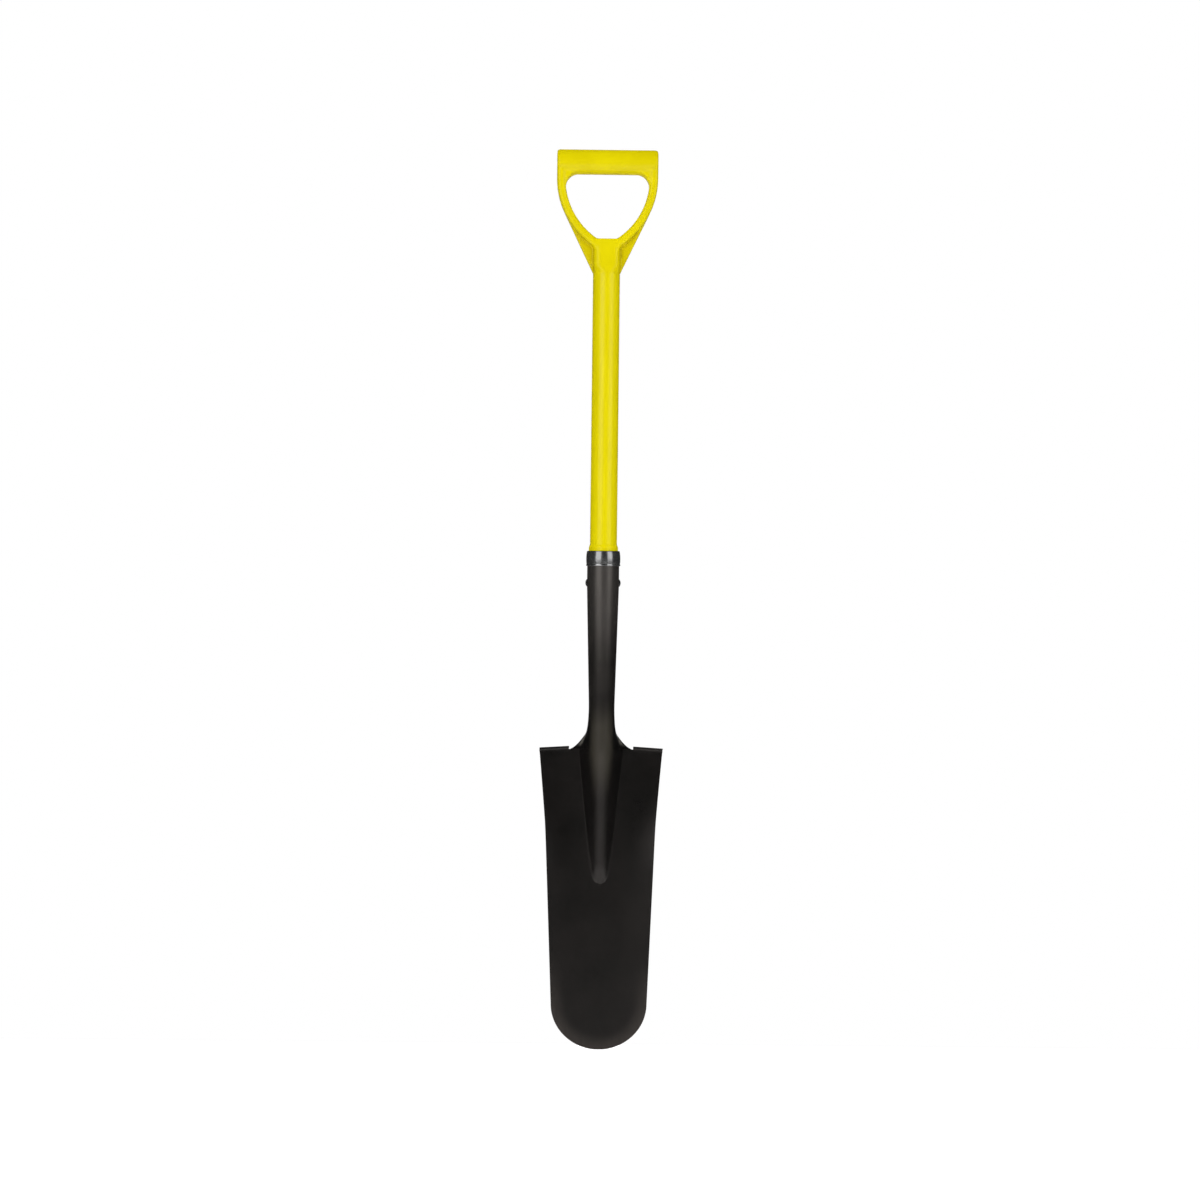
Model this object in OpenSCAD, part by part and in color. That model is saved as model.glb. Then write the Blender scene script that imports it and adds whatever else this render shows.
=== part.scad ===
// Trenching spade: a pressed steel blade rolled into a socket at its top, a fibreglass
// shaft and a moulded D-grip. Sizes are in millimetres. Z runs up the shaft's axis, the
// front of the blade faces -Y, and the origin is under the blade's round end.

/* [Blade] */
// Length of the blade from the round end to the outer corners of the steps
blade_l = 406.4; // [360:0.2:450]
// Width across the shoulders
shoulder_w = 167; // [150:0.5:185]
// Width at the bend in the side outline
waist_w = 148.4; // [135:0.2:155]
// Distance of that bend below the shoulders
waist_drop = 104; // [70:1:140]
// Width where the round end starts
toe_w = 129; // [115:0.5:140]
// Height of the round end
toe_h = 62; // [45:1:80]
// Width of the nearly straight run at the bottom of the round end
toe_flat = 4; // [3:0.5:30]
// Thickness of the pressed sheet
sheet_t = 1.8; // [1.4:0.1:2.4]
// Turn of each wing towards the front, in degrees
dish_turn = 16; // [4:1:22]
// Distance below the shoulders at which the wings reach their full turn
dish_run = 170; // [100:5:220]
// Forward lean of the blade against the shaft, in degrees
lean = 3; // [0:0.25:3.5]

/* [Frog] */
// Length of the pressed ridge from the shoulders to its nose
frog_l = 181; // [140:1:220]
// Slope of the ridge's walls at the shoulders, in degrees
frog_slope = 48; // [44:1:72]
// Straight run of each wall at the shoulders
frog_wall = 25; // [8:0.5:27]
// Radius where a wall runs out into the blade at the shoulders
root_r = 1.5; // [1.5:0.5:14]
// Length of the slope at the ridge's nose
nose_l = 20; // [10:1:30]
// Width of sheet that the nose is pressed from
nose_w = 28; // [18:1:32]
// Distance by which the nose's sides start behind its tip
nose_round = 18; // [8:1:24]

/* [Steps] */
// Length of each turned step
step_l = 40; // [30:0.5:42]
// Depth of each step in front of the blade
step_d = 10; // [7:0.5:13]
// Radius of the fold at the middle of the sheet
step_r = 3.4; // [2.4:0.1:4.5]
// Fall of each step towards its outer end, in degrees
step_droop = 3.5; // [0.5:0.25:5]
// Gap between a step and the flare of the neck
notch_w = 2.4; // [1.5:0.1:4]

/* [Socket] */
// Length of the socket above the steps
socket_l = 265.2; // [230:0.2:300]
// Outer diameter of the neck above the blade
neck_d = 34.8; // [32:0.2:38]
// Length of the parallel mouth
mouth_l = 46.6; // [44.6:0.2:60]
// Length of the taper between the mouth and the neck
taper_l = 160; // [130:1:165]
// Height over which the back stands open above the steps
throat_l = 55; // [50:0.5:90]
// Gap of the rolled seam at the back
seam_gap = 1.5; // [0.8:0.1:2.5]

/* [Collar] */
// Length of the collar on the outside of the socket
collar_l = 19.1; // [14:0.1:24]
// Wall of the collar
collar_wall = 1.45; // [1:0.05:2]
// Thickness of the lip turned in over the socket's mouth
collar_lip = 1.2; // [0.8:0.1:2]
// Radius of the collar's upper edge
collar_round = 1.4; // [0.4:0.1:1.4]
// Radius of the bead round the collar's foot
bead_r = 1.4; // [0.8:0.1:1.4]
// Depth of the groove above the bead
groove_d = 0.3; // [0.1:0.05:0.5]
// Height over which the band draws in to the groove
draw_h = 5; // [2:0.5:10]

/* [Rivet] */
// Diameter of the rivet's shank
rivet_d = 6; // [4:0.1:7]
// Diameter of its heads
rivet_head_d = 10; // [8:0.1:12]
// Height of its heads above the socket
rivet_head_h = 2.2; // [1.4:0.1:3]
// Distance of the rivet below the socket's mouth
rivet_drop = 42; // [36:0.5:42.5]

/* [Sleeve] */
// Wall of the sleeve between the shaft and the socket
sleeve_wall = 1.5; // [1:0.05:2]
// Height of the sleeve's lip above the collar
sleeve_lip = 8.2; // [5:0.2:14]
// Height of the chamfer on that lip
sleeve_chamfer_h = 4; // [2:0.2:4.8]
// Edge left at the top of the chamfer
sleeve_edge = 0.25; // [0.1:0.05:0.6]

/* [Shaft] */
// Outer diameter of the shaft
shaft_d = 36.5; // [34:0.1:39]
// Wall of the shaft
shaft_wall = 4; // [3:0.1:5]
// Length of shaft that shows between the collar and the grip
shaft_l = 374.7; // [250:0.1:700]
// Depth of the shaft's foot below the socket's mouth
foot_depth = 166; // [140:1:180]
// Length of the dowel inside the shaft's lower end
core_l = 254; // [200:1:320]

/* [Grip] */
// Width of the grip
grip_w = 136.6; // [120:0.2:150]
// Height of the grip above the shaft
grip_h = 167.5; // [155:0.5:180]
// Diameter of the hand bar
bar_d = 34; // [28:0.1:36]
// Radius on the rims of the hand bar
bar_round = 3; // [1:0.25:5]
// Height of the hand opening
opening_h = 86.4; // [78:0.2:92]
// Radius of the opening's sides
arm_r = 98; // [86:0.5:110]
// Distance of the arms' centre of curvature below the hand bar
arm_drop = 4.8; // [2:0.1:8]
// Width of each arm, seen from the front
arm_w = 11.3; // [9:0.1:14]
// Depth of each arm from front to back
arm_d = 28; // [24:0.5:31]
// Radius on the arms' edges
arm_round = 4; // [2:0.25:4.4]
// Radius of the opening's upper corners
corner_r = 18; // [10:0.5:20]
// Radius where the arms run into the neck
crotch_r = 16; // [8:0.5:20]
// Thickness of the webs beside the neck
web_t = 9; // [6:0.5:12]
// Half the width of the neck's squarer column
neck_side = 17; // [15:0.25:18]
// Height of the flats on the front and back of the neck
neck_flat_h = 34; // [20:1:40]
// Length of the spigot inside the shaft
spigot_l = 60; // [50:1:80]

/* [Pin] */
// Diameter of the slotted pin through the shaft and spigot
pin_d = 6; // [4:0.1:8]
// Wall of the pin
pin_wall = 1.2; // [0.8:0.1:1.6]
// Slot along the pin
pin_slot = 1.2; // [0.6:0.1:2]
// Distance of the pin below the top of the shaft
pin_drop = 30; // [20:1:40]

/* [Fits] */
// Clearance between pieces that fit into each other
fit = 0.05; // [0.03:0.01:0.1]

/* [Hidden] */
$fn = 72;
// Cut past a face, so that no skin is left
over = 2;

// Radii from the shaft outwards
shaft_r = shaft_d / 2;
bore_r = shaft_r - shaft_wall;
sleeve_ir = shaft_r + fit;
sleeve_or = sleeve_ir + sleeve_wall;
mouth_ir = sleeve_or + fit;
socket_r = mouth_ir + sheet_t;
neck_r = neck_d / 2;
collar_ir = socket_r + fit;
collar_or = collar_ir + collar_wall;
// The collar's rounds leave this much of its wall
edge_spare = 0.05;
rim_r = min(collar_round, collar_wall - edge_spare);
foot_bead_r = min(bead_r, collar_wall - edge_spare);

// Heights from the blade's round end upwards
fold_z = blade_l - step_r - sheet_t / 2 + step_l * tan(step_droop);
waist_z = blade_l - waist_drop;
nose_z = fold_z - frog_l;
throat_z = fold_z + throat_l;
mouth_z = blade_l + socket_l;
parallel_z = mouth_z - mouth_l;
neck_z = parallel_z - taper_l;
rivet_z = mouth_z - rivet_drop;
collar_top = mouth_z + fit + collar_lip;
lip_top = collar_top + sleeve_lip;
foot_z = mouth_z - foot_depth;
shaft_top = collar_top + shaft_l;
pin_z = shaft_top - pin_drop;
grip_top = shaft_top + grip_h;
bar_z = grip_top - bar_d / 2;
bar_bottom = grip_top - bar_d;
arm_z = bar_bottom - arm_drop;
opening_z = bar_bottom - opening_h;

// Outer radius of the socket at a height
function socket_or(z) = neck_r + (socket_r - neck_r) * clamp01((z - neck_z) / taper_l);
// Height at which the socket's taper starts to grip the straight shaft
grip_z = parallel_z - taper_l * (mouth_ir - fit - shaft_r) / (socket_r - neck_r);
foot_r = socket_or(foot_z) - sheet_t - fit;

// Arms and webs of the grip: the arms curve about a point beyond the centre line
arm_x = grip_w / 2 - arm_w - arm_r;
arm_or = arm_r + arm_w;
// The web's edge leaves the shaft's top rim and touches the arm's outer curve
edge_dx = shaft_r - arm_x;
edge_dz = shaft_top - arm_z;
edge_a = atan2(edge_dz, edge_dx) + acos(arm_or / norm([edge_dx, edge_dz]));
edge_x = arm_x + arm_or * cos(edge_a);
edge_z = arm_z + arm_or * sin(edge_a);
// The crotch's round is sunk this far into the arm, and the column stands out this far at its top
crotch_w = 2.2 * arm_round;
neck_swell = 5;
// Hollow rounds run this far into the faces that they join
blend_sink = 0.3;

steel_black = [0.13, 0.13, 0.14];
steel_bright = [0.8, 0.8, 0.82];
shaft_yellow = [0.9, 0.83, 0.05];
wood_pale = [0.78, 0.64, 0.44];

function clamp01(v) = max(0, min(1, v));
function mix(a, b, f) = a + (b - a) * f;
function ease(v) = let (u = clamp01(v)) u * u * (3 - 2 * u);
function rad(a) = a * PI / 180;

// The pressed sheet. Each cross-section is a strip that starts at the crest in the middle
// and runs outwards through its bends: crest, wall, root, flare, notch and step.
bend_cells = [5, 2, 4, 2, 1, 4];
root_end = 11;
flare_end = 13;
step_start = 14;
columns = 18;

// Rows of the sheet, counted from the round end up into the socket
toe_rows = 9;
plain_rows = 4;
nose_rows = 5;
frog_rows = 8;
throat_rows = 11;
fold_rows = 4;
fold_row = toe_rows + plain_rows + nose_rows + frog_rows;
// The sheet's end is thinned where it lies inside the wall of the revolved socket
bury_l = 5;
bury_t = 0.65 * sheet_t;
seam_t = 0.85 * sheet_t;
// The rolled edges of the sheet's end stop this far short of the seam
seam_spare = 0.12;
// Spare on top of the steps that the flat treads are cut from
tread_spare = 0.15;
// How fast the back closes, and how far the free edges are cut back meanwhile
throat_rate = 0.62;
throat_trim = 0.3;
// Shares of the nose, and of the rolled half socket, that go to crest, wall, root and flare
nose_share = [0.62, 0.06, 0.32];
roll_share = [0.4, 0.25, 0.25, 0.1];
// Rounding of the bend in the side outline
waist_blend = 1.5;
// Share of the wall's slope that the ridge still has behind its nose
nose_slope = 0.85;

// Place and heading of a strip after part f of a bend of this length and turn
function walk(p, length, turn, f) =
    let (a = p[2] + f * turn, r = length / rad(max(abs(turn), 0.001)) * sign(turn))
    abs(turn) < 0.01
        ? [p[0] + f * length * cos(p[2]), p[1] + f * length * sin(p[2]), a]
        : [p[0] + r * (sin(a) - sin(p[2])), p[1] - r * (cos(a) - cos(p[2])), a];

// A strip through all its bends, as [x, y, heading] at each column
function strip(start, bends, i = 0) =
    i == len(bends)
        ? [start]
        : let (length = bends[i][0], turn = bends[i][1], cells = bend_cells[i])
          concat(
              [for (k = [0 : cells - 1]) walk(start, length, turn, k / cells)],
              strip(walk(start, length, turn, 1), bends, i + 1)
          );

// Half the blade's width at a height
function toe_half(z) =
    let (c = sqrt(1 - pow(toe_flat / toe_w, 2)), d = clamp01((toe_h - z) / toe_h))
    toe_w / 2 * sqrt(1 - pow(c * d, 2));
function side_half(z) =
    let (
        upper = mix(waist_w, shoulder_w, (z - waist_z) / waist_drop) / 2,
        lower = mix(toe_w, waist_w, (z - toe_h) / (waist_z - toe_h)) / 2
    )
    (upper + lower + norm([upper - lower, waist_blend])) / 2;
function half_width(z) = z < toe_h ? toe_half(z) : side_half(z);

// Bends of the ridge: none below its nose, and the full hollow at the shoulders
function frog_bends(z) =
    let (
        share = clamp01((z - nose_z) / frog_l),
        nose = clamp01((z - nose_z) / nose_l),
        slope = frog_slope * mix(nose_slope, 1, share) * sqrt(nose),
        k = min(1, half_width(z) / nose_w),
        crest = mix(nose_share[0] * nose_w / 2, (neck_r - sheet_t / 2) * rad(frog_slope), share),
        wall = mix(nose_share[1] * nose_w / 2, frog_wall, share),
        root = mix(nose_share[2] * nose_w / 2, root_r * rad(frog_slope), share)
    )
    [[k * crest, slope], [k * wall, 0], [k * root, -slope]];
function frog_foot(z) =
    let (
        b = frog_bends(z),
        crest = walk([0, 0, 0], b[0][0], b[0][1], 1),
        wall = walk(crest, b[1][0], b[1][1], 1)
    )
    walk(wall, b[2][0], b[2][1], 1);

// The wings leave the ridge's foot and turn gently forward
shoulder_foot = frog_foot(fold_z);
wing_top_y = shoulder_foot[1] - neck_r + sheet_t / 2;
step_x = shoulder_w / 2 - step_l;
flare_f = (step_x - notch_w - shoulder_foot[0]) / (shoulder_w / 2 - shoulder_foot[0]);
notch_f = notch_w / (shoulder_w / 2 - shoulder_foot[0]);
wing_shares = [flare_f, notch_f, 1 - flare_f - notch_f];
function wing_turn(z) =
    -dish_turn * ease((fold_z - z) / dish_run) * min(1, half_width(z) / (toe_w / 2));
function wing_y(z) = wing_top_y - (fold_z - z) * tan(lean);
function wing_bends(z) =
    let (
        turn = wing_turn(z),
        reach = half_width(z) - frog_foot(z)[0],
        length = abs(turn) < 0.01 ? reach : reach * rad(turn) / sin(turn)
    )
    [for (s = wing_shares) [s * length, s * turn]];
function bent_strip(z) =
    strip([0, wing_y(z) - frog_foot(z)[1], 0], concat(frog_bends(z), wing_bends(z)));

// Near the nose the ridge's outer columns rise later, so that the nose is round
function nose_lag(z, x) =
    let (
        near = z > nose_z ? 1 - ease((z - nose_z - nose_l) / nose_l) : 0,
        out = clamp01(x / frog_foot(z)[0])
    )
    nose_round * near * (1 - sqrt(1 - out * out));
function blade_strip(z) =
    let (level = bent_strip(z))
    [
        for (j = [0 : columns])
            let (lag = j > root_end ? 0 : nose_lag(z, level[j][0]), p = bent_strip(z - lag)[j])
            [p[0], p[1] + wing_y(z) - wing_y(z - lag), p[2]]
    ];

// Above the steps the strip rolls up from the open hollow into the closed socket
function throat_strip(z) =
    let (
        f = pow(clamp01((z - fold_z) / throat_l), throat_rate),
        r = socket_or(z) - sheet_t / 2,
        closed = 180 - (seam_gap / 2 + seam_spare) / rad(r),
        trim = 1 - 4 * throat_trim * f * (1 - f),
        open = concat(frog_bends(fold_z), [wing_bends(fold_z)[0]])
    )
    strip([0, -r, 0], [
        for (i = [0 : len(roll_share) - 1])
            let (turn = closed * roll_share[i], length = mix(open[i][0], r * rad(turn), f))
            [i < 2 ? length : length * trim, mix(open[i][1], turn, f)]
    ]);

row_z = concat(
    [for (k = [0 : toe_rows - 1]) toe_h * (1 - cos(90 * k / toe_rows))],
    [for (k = [0 : plain_rows - 1]) mix(toe_h, nose_z, k / plain_rows)],
    [for (k = [0 : nose_rows - 1]) nose_z + nose_l * (1 - cos(90 * k / nose_rows))],
    [for (k = [0 : frog_rows - 1]) mix(nose_z + nose_l, fold_z, k / frog_rows)],
    [for (k = [0 : throat_rows]) fold_z + throat_l * pow(k / throat_rows, 1 / throat_rate)],
    [throat_z + bury_l]
);
rows = len(row_z);
row_strip = [for (i = [0 : rows - 1]) i > fold_row ? throat_strip(row_z[i]) : blade_strip(row_z[i])];
row_t = [for (i = [0 : rows - 1]) i == rows - 1 ? bury_t : i == rows - 2 ? seam_t : sheet_t];

// A point of the sheet's front (side = 1) or back (side = -1), right half
function sheet_point(i, j, side) =
    i > fold_row && j > flare_end ? step_point(min(i - fold_row, fold_rows + 1), j, side)
    : let (p = row_strip[i][j], t = row_t[i] / 2)
      [
          p[0] + side * t * sin(p[2]),
          p[1] - side * t * cos(p[2]),
          row_z[i] - (i == fold_row ? step_fall(j) : 0)
      ];
function step_fall(j) = j < step_start ? 0 : (row_strip[fold_row][j][0] - step_x) * tan(step_droop);
// The step folds forward from the shoulder row and then runs out flat
function step_point(m, j, side) =
    let (
        p = row_strip[fold_row][max(j, step_start)],
        a = min(90, 90 * m / fold_rows),
        out = m > fold_rows ? step_d - step_r : 0,
        t = sheet_t / 2 + (side < 0 ? tread_spare * sin(a) : 0)
    )
    [
        p[0],
        p[1] - step_r * (1 - cos(a)) - out - side * t * cos(a),
        fold_z - step_fall(max(j, step_start)) + step_r * sin(a) - side * t * sin(a)
    ];

module sheet() {
    width = 2 * columns + 1;
    function at(i, c, side) =
        let (p = sheet_point(i, abs(c - columns), side)) [c < columns ? -p[0] : p[0], p[1], p[2]];
    function index(i, c, back) = 2 * (i * width + c) + back;
    function outer(c) = max(abs(c - columns), abs(c + 1 - columns));
    function present(i, c) =
        i >= 0 && i < rows - 1 && c >= 0 && c < width - 1
        && (i < fold_row || outer(c) <= flare_end
            || (outer(c) > step_start && i <= fold_row + fold_rows));
    function rim(p, q) = [[p, q, q + 1], [p, q + 1, p + 1]];
    points = [
        for (i = [0 : rows - 1]) for (c = [0 : width - 1]) for (side = [1, -1]) at(i, c, side)
    ];
    faces = [
        for (i = [0 : rows - 2]) for (c = [0 : width - 2]) if (present(i, c))
            let (
                p = index(i, c, 0),
                q = index(i, c + 1, 0),
                r = index(i + 1, c + 1, 0),
                s = index(i + 1, c, 0)
            )
            each concat(
                [[p, s, r], [p, r, q], [p + 1, r + 1, s + 1], [p + 1, q + 1, r + 1]],
                present(i - 1, c) ? [] : rim(p, q),
                present(i, c + 1) ? [] : rim(q, r),
                present(i + 1, c) ? [] : rim(r, s),
                present(i, c - 1) ? [] : rim(s, p)
            )
    ];
    polyhedron(points, faces);
}

// Cuts the spare off both steps, so that each tread is one flat face
module tread_cut() {
    for (side = [0, 1])
        mirror([side, 0, 0])
            translate([step_x, wing_top_y, fold_z + step_r + sheet_t / 2])
                rotate([0, step_droop, 0])
                    translate([-notch_w / 2, -step_d - over, 0])
                        cube([step_l + notch_w / 2 + over, step_d + 2 * over, over]);
}

// Tapered part and mouth of the socket, with the seam at the back
module socket() {
    difference() {
        rotate_extrude()
            polygon([
                [socket_or(throat_z) - sheet_t, throat_z],
                [socket_or(throat_z), throat_z],
                [socket_r, parallel_z],
                [socket_r, mouth_z],
                [mouth_ir, mouth_z],
                [mouth_ir, parallel_z]
            ]);
        translate([-seam_gap / 2, 0, throat_z - over])
            cube([seam_gap, socket_r + over, mouth_z - throat_z + 2 * over]);
        rivet_hole();
    }
}

module rivet_hole() {
    translate([-collar_or, 0, rivet_z])
        rotate([0, 90, 0])
            cylinder(r = rivet_d / 2 + fit, h = 2 * collar_or);
}

module pin_hole() {
    translate([-shaft_d, 0, pin_z])
        rotate([0, 90, 0])
            cylinder(d = pin_d, h = 2 * shaft_d);
}

module blade() {
    color(steel_black)
        union() {
            difference() {
                sheet();
                tread_cut();
            }
            socket();
        }
}

// Section of the collar's wall: a band with a rounded upper edge that draws in to a groove
// above the bead at its foot
module band_section(foot) {
    groove_r = collar_or - groove_d;
    groove_z = foot + 2 * foot_bead_r;
    polygon([
        [collar_ir, foot + foot_bead_r],
        [groove_r, foot + foot_bead_r],
        [groove_r, groove_z],
        [collar_or, groove_z + draw_h],
        [collar_or, collar_top - rim_r],
        [collar_or - rim_r, collar_top - rim_r],
        [collar_or - rim_r, collar_top],
        [collar_ir, collar_top]
    ]);
    translate([collar_or - rim_r, collar_top - rim_r]) circle(rim_r);
    translate([collar_or - foot_bead_r, foot + foot_bead_r]) circle(foot_bead_r);
    translate([collar_ir, foot]) square([collar_wall - foot_bead_r, foot_bead_r]);
}

// Bright ring over the socket's mouth, with a bead round its foot and its top edge turned
// in to the sleeve
module socket_collar() {
    foot = mouth_z - collar_l;
    color(steel_bright)
        rotate_extrude() {
            intersection() {
                band_section(foot);
                translate([collar_ir, foot]) square([collar_wall, collar_top - foot]);
            }
            translate([sleeve_or + fit, mouth_z + fit])
                square([collar_or - rim_r - sleeve_or - fit, collar_lip]);
        }
}

// Solid rivet with two domed heads that seat on the round of the socket
module socket_rivet() {
    dome_r = (pow(rivet_head_d / 2, 2) + pow(rivet_head_h, 2)) / (2 * rivet_head_h);
    color(steel_black)
        translate([0, 0, rivet_z]) {
            rotate([0, 90, 0])
                cylinder(d = rivet_d, h = 2 * socket_r + rivet_head_h / 2, center = true);
            difference() {
                rotate([0, 90, 0])
                    for (side = [0, 1])
                        mirror([0, 0, side])
                            translate([0, 0, socket_r])
                                rivet_head(dome_r);
                cylinder(r = socket_r + fit / 2, h = 2 * rivet_head_d, center = true);
            }
        }
}

module rivet_head(dome_r) {
    intersection() {
        translate([0, 0, rivet_head_h - dome_r]) sphere(dome_r);
        translate([0, 0, -rivet_head_h]) cylinder(d = rivet_head_d, h = 3 * rivet_head_h);
    }
}

// Sleeve that fills the gap between the straight shaft and the socket's mouth
module socket_sleeve() {
    color(shaft_yellow)
        difference() {
            rotate_extrude()
                polygon([
                    [sleeve_ir, parallel_z],
                    [sleeve_or, parallel_z],
                    [sleeve_or, lip_top - sleeve_chamfer_h],
                    [sleeve_ir + sleeve_edge, lip_top],
                    [sleeve_ir, lip_top]
                ]);
            rivet_hole();
        }
}

// Fibreglass tube, ground to the socket's taper at its foot
module shaft_tube() {
    color(shaft_yellow)
        difference() {
            rotate_extrude()
                polygon([
                    [bore_r, foot_z],
                    [foot_r, foot_z],
                    [shaft_r, grip_z],
                    [shaft_r, shaft_top],
                    [bore_r, shaft_top]
                ]);
            rivet_hole();
            pin_hole();
        }
}

// Wooden dowel that keeps the tube from being crushed by the rivet and the socket
module shaft_core() {
    color(wood_pale)
        difference() {
            translate([0, 0, foot_z]) cylinder(r = bore_r - fit, h = core_l);
            rivet_hole();
        }
}

// Section of an arm, from its inner face outwards, with rounded edges
module arm_section(w, d = arm_d) {
    flat_d = d - 2 * arm_round;
    translate([0, -flat_d / 2]) square([w, flat_d]);
    translate([arm_round, -d / 2]) square([w - 2 * arm_round, d]);
    for (x = [arm_round, w - arm_round])
        for (y = [-flat_d / 2, flat_d / 2])
            translate([x, y]) circle(arm_round);
}

// One arm: straight below the hand bar's axis, then curved down to the neck
module arm() {
    sweep_a = acos(-arm_x / arm_r);
    translate([grip_w / 2 - arm_w, 0, arm_z])
        linear_extrude(bar_z - arm_z)
            arm_section(arm_w);
    translate([arm_x, 0, arm_z])
        rotate([90, 0, 0])
            rotate_extrude(angle = -sweep_a)
                translate([arm_r, 0])
                    arm_section(arm_w);
}

// Hollow round in the corner between the hand bar and an arm: a trumpet round the bar
// that is cut down to the arm's depth
module corner_fillet() {
    corner_z = bar_bottom - corner_r + blend_sink;
    corner_x = arm_x + blend_sink + sqrt(pow(arm_r - corner_r, 2) - pow(corner_z - arm_z, 2));
    reach = grip_w / 2 - arm_w / 2 - corner_x;
    depth = arm_d - arm_round;
    intersection() {
        translate([corner_x, 0, bar_z])
            rotate([0, 90, 0])
                rotate_extrude()
                    difference() {
                        square([bar_z - corner_z, reach]);
                        translate([bar_z - corner_z, 0]) circle(corner_r);
                    }
        translate([corner_x, -depth / 2, corner_z])
            cube([reach, depth, bar_z - corner_z]);
    }
}

// Hollow round between an arm's outer curve and the side of the neck
module crotch() {
    crotch_x = neck_side + crotch_r - blend_sink;
    crotch_z = arm_z - sqrt(pow(arm_or + crotch_r - blend_sink, 2) - pow(crotch_x - arm_x, 2));
    start_a = atan2(arm_z - crotch_z, arm_x - crotch_x);
    translate([crotch_x, 0, crotch_z])
        rotate([90, 0, 0])
            rotate([0, 0, start_a])
                rotate_extrude(angle = 180 - start_a)
                    translate([crotch_r, 0])
                        arm_section(crotch_w, arm_d - 2 * blend_sink);
}

// Thin web from the shaft's rim to the point where its edge touches the arm
module web() {
    inside = arm_w / 2 / arm_or;
    translate([0, web_t / 2, 0])
        rotate([90, 0, 0])
            linear_extrude(web_t)
                difference() {
                    polygon([
                        [0, shaft_top],
                        [shaft_r, shaft_top],
                        [edge_x, edge_z],
                        [mix(edge_x, arm_x, inside), mix(edge_z, arm_z, inside)],
                        [0, arm_z]
                    ]);
                    translate([arm_x, arm_z]) circle(arm_r + arm_w / 2);
                }
}

// Round neck that carries on the shaft. Flats run up its front and back to the arms, and
// a squarer column grows out of it towards the opening.
module grip_neck() {
    flat_a = atan2(shaft_r - arm_d / 2, neck_flat_h);
    neck_h = opening_z - shaft_top;
    difference() {
        translate([0, 0, shaft_top]) cylinder(r = shaft_r, h = neck_h);
        for (turn = [0, 180])
            rotate([0, 0, turn])
                translate([-shaft_d, -arm_d / 2, opening_z])
                    rotate([-flat_a, 0, 0])
                        translate([0, -shaft_r, -opening_h])
                            cube([2 * shaft_d, shaft_r, 2 * opening_h]);
    }
    intersection() {
        translate([-neck_side, 0, shaft_top])
            linear_extrude(neck_h)
                arm_section(2 * neck_side);
        translate([0, 0, shaft_top])
            cylinder(r1 = shaft_r - fit, r2 = shaft_r + neck_swell, h = neck_h);
    }
}

module hand_bar() {
    translate([-grip_w / 2, 0, bar_z])
        rotate([0, 90, 0])
            rotate_extrude()
                intersection() {
                    translate([-bar_d / 2, 0])
                        bar_section();
                    square([bar_d, grip_w]);
                }
}

// Outline of the bar with rounded corners
module bar_section() {
    translate([bar_round, 0]) square([bar_d - 2 * bar_round, grip_w]);
    translate([0, bar_round]) square([bar_d, grip_w - 2 * bar_round]);
    for (x = [bar_round, bar_d - bar_round])
        for (y = [bar_round, grip_w - bar_round])
            translate([x, y]) circle(bar_round);
}

module d_grip() {
    color(shaft_yellow)
        difference() {
            union() {
                hand_bar();
                grip_neck();
                for (side = [0, 1])
                    mirror([side, 0, 0]) {
                        arm();
                        corner_fillet();
                        crotch();
                        web();
                    }
                translate([0, 0, shaft_top - spigot_l])
                    cylinder(r = bore_r - fit, h = spigot_l + over);
            }
            pin_hole();
        }
}

// Slotted spring pin, pressed through the shaft and the spigot
module grip_pin() {
    length = 2 * sqrt(pow(shaft_r, 2) - pow(pin_d / 2, 2));
    color(steel_bright)
        translate([-length / 2, 0, pin_z])
            rotate([0, 90, 0])
                linear_extrude(length)
                    difference() {
                        circle(d = pin_d - 2 * fit);
                        circle(d = pin_d - 2 * pin_wall);
                        translate([-pin_slot / 2, 0]) square([pin_slot, pin_d]);
                    }
}

blade();
socket_collar();
socket_rivet();
socket_sleeve();
shaft_tube();
shaft_core();
d_grip();
grip_pin();
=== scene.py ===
"""Looks of a trenching spade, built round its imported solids.

Lengths are in metres. The shaft stands along Z, the blade's front faces -Y, and the blade's
round end stands at the origin.
"""

from math import acos, atan2, ceil, cos, hypot, pi, radians, sin, sqrt, tan

import bmesh
import bpy
from mathutils import Matrix, Vector
from mathutils.kdtree import KDTree


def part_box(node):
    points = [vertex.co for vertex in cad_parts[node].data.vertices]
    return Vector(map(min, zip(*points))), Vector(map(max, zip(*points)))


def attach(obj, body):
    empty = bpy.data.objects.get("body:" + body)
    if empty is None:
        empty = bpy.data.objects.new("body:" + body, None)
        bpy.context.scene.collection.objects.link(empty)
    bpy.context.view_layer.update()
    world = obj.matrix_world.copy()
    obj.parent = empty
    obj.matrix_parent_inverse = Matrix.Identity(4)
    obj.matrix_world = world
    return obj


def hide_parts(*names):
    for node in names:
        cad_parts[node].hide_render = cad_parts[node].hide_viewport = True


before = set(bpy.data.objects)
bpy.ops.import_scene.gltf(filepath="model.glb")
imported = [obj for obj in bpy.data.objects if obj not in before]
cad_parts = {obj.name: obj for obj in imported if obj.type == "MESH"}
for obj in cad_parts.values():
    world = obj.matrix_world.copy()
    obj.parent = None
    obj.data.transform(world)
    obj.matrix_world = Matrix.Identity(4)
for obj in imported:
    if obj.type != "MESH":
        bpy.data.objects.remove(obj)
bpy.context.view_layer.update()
MM = 0.001

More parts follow.
